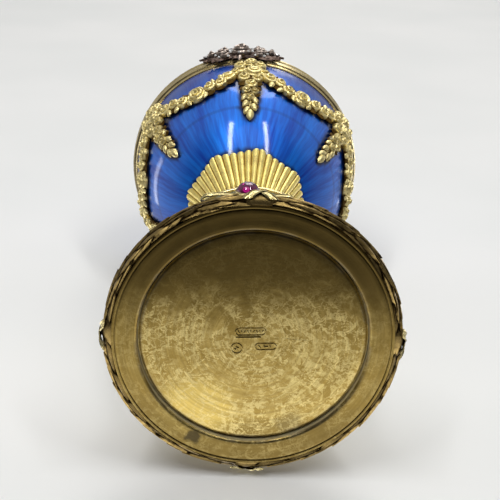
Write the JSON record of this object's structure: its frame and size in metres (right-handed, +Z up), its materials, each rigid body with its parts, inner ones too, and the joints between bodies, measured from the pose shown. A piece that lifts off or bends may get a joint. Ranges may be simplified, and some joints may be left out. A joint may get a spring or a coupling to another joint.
{
  "type": "jewelled egg on a stand",
  "caption": "Upright enamelled egg with a lift-off lid, hung with rose swags, on a fluted cup, stone collar and round gilt foot wreathed in laurel.",
  "frame": {"origin": "centre of the underside, on the plane of the flat ring that the foot stands on", "axes": "+Z up along the egg's axis; -Y towards the front, where the silver spray and the ribbon bow are; +X to the right as seen from the front"},
  "size_m": [0.056, 0.0598, 0.1389],
  "materials": {
    "foot_gilt": "gilt, brushed and patinated",
    "plate_gilt": "gilt, mottled patina",
    "garland_gilt": "gilt, antiqued in the recesses",
    "ribbon_gold": "pale gilt, polished",
    "rim_gold": "gilt, polished",
    "neck_gilt": "gilt, polished",
    "calyx_gold": "yellow gilt, satin",
    "bezel_gold": "gilt, polished",
    "rose_gold": "pale gilt, chased",
    "oxidised_silver": "silver, oxidised, set with small diamonds",
    "collar_stone": "pale grey-green hardstone, polished",
    "ruby": "deep magenta cabochon",
    "blue_enamel": "translucent blue enamel over engraved rays"
  },
  "bodies": {
    "root": {"foot": "foot_gilt", "base_plate": "plate_gilt", "laurel_garland": "garland_gilt", "collar_rim_lower": "rim_gold", "collar_rim_upper": "rim_gold", "stone_collar": "collar_stone", "neck": "neck_gilt", "calyx": "calyx_gold", "egg_bowl": "blue_enamel", "bowl_bezel": "bezel_gold", "lid_bezel": "bezel_gold", "egg_lid": "blue_enamel", "silver_spray": "oxidised_silver", "ribbon_tie_front": "ribbon_gold", "ruby_front": "ruby", "collet_front": "rim_gold", "ribbon_tie_right": "ribbon_gold", "ruby_right": "ruby", "collet_right": "rim_gold", "ribbon_tie_back": "ribbon_gold", "ruby_back": "ruby", "collet_back": "rim_gold", "ribbon_tie_left": "ribbon_gold", "ruby_left": "ruby", "collet_left": "rim_gold", "swag_1": "rose_gold", "pendant_1": "rose_gold", "swag_2": "rose_gold", "pendant_2": "rose_gold", "swag_3": "rose_gold", "pendant_3": "rose_gold", "swag_4": "rose_gold", "pendant_4": "rose_gold", "swag_5": "rose_gold", "pendant_5": "rose_gold", "swag_6": "rose_gold", "pendant_6": "rose_gold"}
  },
  "joints": []
}
